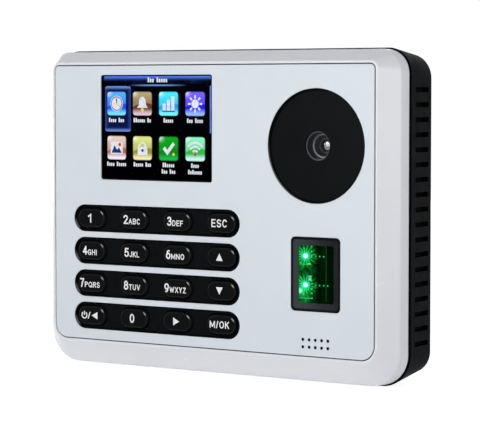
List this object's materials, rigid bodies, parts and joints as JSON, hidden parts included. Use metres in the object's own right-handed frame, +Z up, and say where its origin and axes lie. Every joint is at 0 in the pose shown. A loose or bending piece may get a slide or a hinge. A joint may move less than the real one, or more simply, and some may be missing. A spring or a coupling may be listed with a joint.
{
  "type": "fingerprint scanner terminal",
  "caption": "Wall-mounted access terminal with colour screen, keypad, palm camera window, fingerprint reader, vented rear casing and steel wall plate",
  "frame": {"origin": "centre of the wall plate's screw pattern, in the plane of the wall, which is the middle of the casing", "axes": "+X to the right as the user sees it, +Y from the user into the wall, +Z up"},
  "size_m": [0.1812, 0.0342, 0.137],
  "materials": {
    "white_casing": "pearl white moulded plastic, fine texture, satin gloss",
    "silver_panel": "pale blue-silver satin paint",
    "black_casing": "charcoal moulded plastic with a fine spark texture",
    "strip_plastic": "black satin-gloss plastic",
    "key_plastic": "black satin-gloss plastic with white printed legends",
    "camera_disc": "black infra-red-passing acrylic",
    "camera_black": "dark grey matt plastic",
    "bezel_plastic": "charcoal satin plastic",
    "reader_black": "dark matt plastic",
    "optical_glass": "coated optical glass",
    "screen_plastic": "clear hard-coated acrylic",
    "display_cell": "lit liquid-crystal cell",
    "display_tray": "folded steel and white plastic backlight tray",
    "silicone": "translucent grey silicone",
    "foam": "closed-cell foam",
    "circuit_board": "green solder mask with copper tracks",
    "chip_plastic": "black moulding compound",
    "lamp_resin": "smoked clear resin",
    "green_lamps": "lit green lamps",
    "speaker_metal": "black plastic frame and film cone",
    "capacitor_sleeve": "bare aluminium cans",
    "battery_steel": "nickel-plated steel",
    "holder_plastic": "black plastic",
    "jack_plastic": "black plastic",
    "clamp_plastic": "green plastic",
    "socket_steel": "bright nickel-plated steel",
    "stem_plastic": "white plastic",
    "ribbon": "amber polyimide film",
    "screw_steel": "zinc-plated steel",
    "plate_steel": "zinc-plated sheet steel"
  },
  "bodies": {
    "terminal": {"front_casing": "white_casing", "front_panel": "silver_panel", "rear_casing": "black_casing", "key_strip_1": "strip_plastic", "key_strip_2": "strip_plastic", "key_strip_3": "strip_plastic", "key_strip_4": "strip_plastic", "camera_window": "camera_disc", "camera_hood": "camera_black", "camera_barrel": "camera_black", "reader_bezel": "bezel_plastic", "reader_housing": "reader_black", "camera_lens": "optical_glass", "reader_glass": "optical_glass", "reader_prism": "optical_glass", "screen_window": "screen_plastic", "display_glass": "display_cell", "display_frame": "display_tray", "keypad_mat": "silicone", "speaker_gasket": "foam", "keypad_board": "circuit_board", "camera_board": "circuit_board", "infrared_board": "circuit_board", "reader_board": "circuit_board", "main_board": "circuit_board", "board_chips": "chip_plastic", "reset_switch": "chip_plastic", "tamper_switch": "chip_plastic", "infrared_lamps": "lamp_resin", "reader_lamps": "green_lamps", "speaker": "speaker_metal", "capacitors": "capacitor_sleeve", "backup_battery": "battery_steel", "battery_holder": "holder_plastic", "ethernet_jack": "jack_plastic", "terminal_blocks": "clamp_plastic", "usb_socket": "socket_steel", "ribbon_cables": "ribbon", "small_screws": "screw_steel", "casing_screws": "screw_steel", "lock_screw": "screw_steel", "wall_plate": "plate_steel"},
    "key_1": {"key_1": "key_plastic"},
    "key_2": {"key_2": "key_plastic"},
    "key_3": {"key_3": "key_plastic"},
    "key_esc": {"key_esc": "key_plastic"},
    "key_4": {"key_4": "key_plastic"},
    "key_5": {"key_5": "key_plastic"},
    "key_6": {"key_6": "key_plastic"},
    "key_up": {"key_up": "key_plastic"},
    "key_7": {"key_7": "key_plastic"},
    "key_8": {"key_8": "key_plastic"},
    "key_9": {"key_9": "key_plastic"},
    "key_down": {"key_down": "key_plastic"},
    "key_power_left": {"key_power_left": "key_plastic"},
    "key_0": {"key_0": "key_plastic"},
    "key_right": {"key_right": "key_plastic"},
    "key_menu_ok": {"key_menu_ok": "key_plastic"},
    "reset_button": {"reset_button": "stem_plastic"},
    "tamper_plunger": {"tamper_plunger": "stem_plastic"}
  },
  "joints": [
    {"name": "key_1_press", "type": "slide", "parent": "terminal", "child": "key_1", "axis": [0, 1, 0], "range_m": [0, 0.0007], "stiffness_N_per_m": 500, "springref_m": -0.0005, "deforming": ["keypad_mat"]},
    {"name": "key_2_press", "type": "slide", "parent": "terminal", "child": "key_2", "axis": [0, 1, 0], "range_m": [0, 0.0007], "stiffness_N_per_m": 500, "springref_m": -0.0005, "deforming": ["keypad_mat"]},
    {"name": "key_3_press", "type": "slide", "parent": "terminal", "child": "key_3", "axis": [0, 1, 0], "range_m": [0, 0.0007], "stiffness_N_per_m": 500, "springref_m": -0.0005, "deforming": ["keypad_mat"]},
    {"name": "key_esc_press", "type": "slide", "parent": "terminal", "child": "key_esc", "axis": [0, 1, 0], "range_m": [0, 0.0007], "stiffness_N_per_m": 500, "springref_m": -0.0005, "deforming": ["keypad_mat"]},
    {"name": "key_4_press", "type": "slide", "parent": "terminal", "child": "key_4", "axis": [0, 1, 0], "range_m": [0, 0.0007], "stiffness_N_per_m": 500, "springref_m": -0.0005, "deforming": ["keypad_mat"]},
    {"name": "key_5_press", "type": "slide", "parent": "terminal", "child": "key_5", "axis": [0, 1, 0], "range_m": [0, 0.0007], "stiffness_N_per_m": 500, "springref_m": -0.0005, "deforming": ["keypad_mat"]},
    {"name": "key_6_press", "type": "slide", "parent": "terminal", "child": "key_6", "axis": [0, 1, 0], "range_m": [0, 0.0007], "stiffness_N_per_m": 500, "springref_m": -0.0005, "deforming": ["keypad_mat"]},
    {"name": "key_up_press", "type": "slide", "parent": "terminal", "child": "key_up", "axis": [0, 1, 0], "range_m": [0, 0.0007], "stiffness_N_per_m": 500, "springref_m": -0.0005, "deforming": ["keypad_mat"]},
    {"name": "key_7_press", "type": "slide", "parent": "terminal", "child": "key_7", "axis": [0, 1, 0], "range_m": [0, 0.0007], "stiffness_N_per_m": 500, "springref_m": -0.0005, "deforming": ["keypad_mat"]},
    {"name": "key_8_press", "type": "slide", "parent": "terminal", "child": "key_8", "axis": [0, 1, 0], "range_m": [0, 0.0007], "stiffness_N_per_m": 500, "springref_m": -0.0005, "deforming": ["keypad_mat"]},
    {"name": "key_9_press", "type": "slide", "parent": "terminal", "child": "key_9", "axis": [0, 1, 0], "range_m": [0, 0.0007], "stiffness_N_per_m": 500, "springref_m": -0.0005, "deforming": ["keypad_mat"]},
    {"name": "key_down_press", "type": "slide", "parent": "terminal", "child": "key_down", "axis": [0, 1, 0], "range_m": [0, 0.0007], "stiffness_N_per_m": 500, "springref_m": -0.0005, "deforming": ["keypad_mat"]},
    {"name": "key_power_left_press", "type": "slide", "parent": "terminal", "child": "key_power_left", "axis": [0, 1, 0], "range_m": [0, 0.0007], "stiffness_N_per_m": 500, "springref_m": -0.0005, "deforming": ["keypad_mat"]},
    {"name": "key_0_press", "type": "slide", "parent": "terminal", "child": "key_0", "axis": [0, 1, 0], "range_m": [0, 0.0007], "stiffness_N_per_m": 500, "springref_m": -0.0005, "deforming": ["keypad_mat"]},
    {"name": "key_right_press", "type": "slide", "parent": "terminal", "child": "key_right", "axis": [0, 1, 0], "range_m": [0, 0.0007], "stiffness_N_per_m": 500, "springref_m": -0.0005, "deforming": ["keypad_mat"]},
    {"name": "key_menu_ok_press", "type": "slide", "parent": "terminal", "child": "key_menu_ok", "axis": [0, 1, 0], "range_m": [0, 0.0007], "stiffness_N_per_m": 500, "springref_m": -0.0005, "deforming": ["keypad_mat"]},
    {"name": "reset_press", "type": "slide", "parent": "terminal", "child": "reset_button", "axis": [0, -1, 0], "range_m": [0, 0.0003], "stiffness_N_per_m": 900, "springref_m": -0.0003},
    {"name": "tamper_press", "type": "slide", "parent": "terminal", "child": "tamper_plunger", "axis": [0, -1, 0], "range_m": [0, 0.0008], "stiffness_N_per_m": 300, "springref_m": -0.001}
  ]
}
